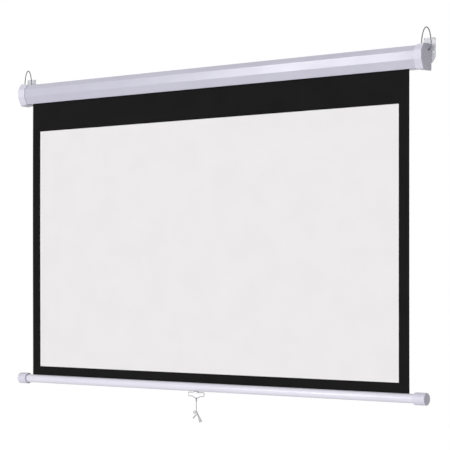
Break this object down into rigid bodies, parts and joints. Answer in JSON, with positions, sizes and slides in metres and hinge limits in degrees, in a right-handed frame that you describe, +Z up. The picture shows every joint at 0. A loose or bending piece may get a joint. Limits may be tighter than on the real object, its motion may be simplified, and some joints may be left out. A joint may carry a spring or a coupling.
{
  "type": "projection screen",
  "caption": "Pull-down projection screen: spring roller in a slim bevelled case, white cloth with a black border, round bottom bar, and a cord pull on a wire bail.",
  "frame": {"origin": "on the flat back of the case, half way along it and half way up it", "axes": "+X along the case to the viewer's right, +Y into the wall, +Z up"},
  "size_m": [1.812, 0.068, 1.3129],
  "materials": {
    "white_enamel": "white powder coat, satin",
    "cap_plastic": "moulded, pale lavender grey",
    "plate_steel": "light grey coat",
    "zinc_steel": "bright zinc plate",
    "spring_steel": "oiled wire",
    "tube_aluminium": "mill finish",
    "grey_nylon": "moulded",
    "brass": "turned",
    "white_cloth": "matt white front with a black border",
    "black_cloth": "matt black coating",
    "white_cord": "braided",
    "pull_plastic": "moulded"
  },
  "bodies": {
    "housing": {"case": "white_enamel", "left_end_cap": "cap_plastic", "right_end_cap": "cap_plastic", "left_cap_screw_top": "zinc_steel", "left_cap_screw_front": "zinc_steel", "left_cap_screw_bottom": "zinc_steel", "left_wall_plate": "plate_steel", "left_plate_screw_1": "zinc_steel", "left_plate_screw_2": "zinc_steel", "left_socket": "grey_nylon", "right_cap_screw_top": "zinc_steel", "right_cap_screw_front": "zinc_steel", "right_cap_screw_bottom": "zinc_steel", "right_wall_plate": "plate_steel", "right_plate_screw_1": "zinc_steel", "right_plate_screw_2": "zinc_steel", "right_socket": "grey_nylon", "idle_bush": "brass", "spring_arbor": "zinc_steel", "spring_hub": "grey_nylon", "torsion_spring": "spring_steel", "ratchet_hub": "zinc_steel", "fabric_sheet": "white_cloth"},
    "roller": {"roller_tube": "tube_aluminium", "fabric_wrap": "black_cloth", "idle_plug": "grey_nylon", "idle_pin": "zinc_steel", "spring_plug": "grey_nylon", "spring_anchor": "grey_nylon", "pawl_pin_1": "zinc_steel", "pawl_pin_2": "zinc_steel"},
    "upper_pawl": {"pawl_1": "zinc_steel"},
    "lower_pawl": {"pawl_2": "zinc_steel"},
    "bar": {"bottom_bar": "white_enamel", "left_bar_cap": "cap_plastic", "right_bar_cap": "cap_plastic", "hem_rod": "zinc_steel", "fabric_hem": "black_cloth", "bail_clip": "zinc_steel", "clip_screw_front": "zinc_steel", "clip_screw_back": "zinc_steel"},
    "bail": {"bail": "zinc_steel"},
    "pull": {"pull_cord": "white_cord", "pull_grip": "pull_plastic"},
    "left_ring": {"left_hanging_ring": "zinc_steel"},
    "right_ring": {"right_hanging_ring": "zinc_steel"}
  },
  "joints": [
    {"name": "screen_drop", "type": "slide", "parent": "housing", "child": "bar", "axis": [0, 0, 1], "range_m": [0, 1.025], "deforming": ["fabric_sheet"]},
    {"name": "roller_spin", "type": "hinge", "parent": "housing", "child": "roller", "pos_m": [0, -0.02543, 0.00556], "axis": [-1, 0, 0], "range_deg": [0, 3000]},
    {"name": "upper_pawl_swing", "type": "hinge", "parent": "roller", "child": "upper_pawl", "pos_m": [-0.8531, -0.03026, 0.01721], "axis": [1, 0, 0], "range_deg": [-15, 25]},
    {"name": "lower_pawl_swing", "type": "hinge", "parent": "roller", "child": "lower_pawl", "pos_m": [-0.8531, -0.02061, -0.00608], "axis": [1, 0, 0], "range_deg": [-15, 25]},
    {"name": "bail_swing", "type": "hinge", "parent": "bar", "child": "bail", "pos_m": [-0.035, -0.04383, -1.1096], "axis": [1, 0, 0], "range_deg": [-90, 90]},
    {"name": "pull_swing", "type": "hinge", "parent": "bail", "child": "pull", "pos_m": [-0.035, -0.04383, -1.13163], "axis": [1, 0, 0], "range_deg": [-60, 60]},
    {"name": "left_ring_swing", "type": "hinge", "parent": "housing", "child": "left_ring", "pos_m": [-0.8905, -0.021, 0.021], "axis": [1, 0, 0], "range_deg": [-12, 12]},
    {"name": "right_ring_swing", "type": "hinge", "parent": "housing", "child": "right_ring", "pos_m": [0.8905, -0.021, 0.021], "axis": [1, 0, 0], "range_deg": [-12, 12]}
  ],
  "couplings": [
    {"joint": "roller_spin", "follows": "screen_drop", "rad_per_m": 51}
  ]
}
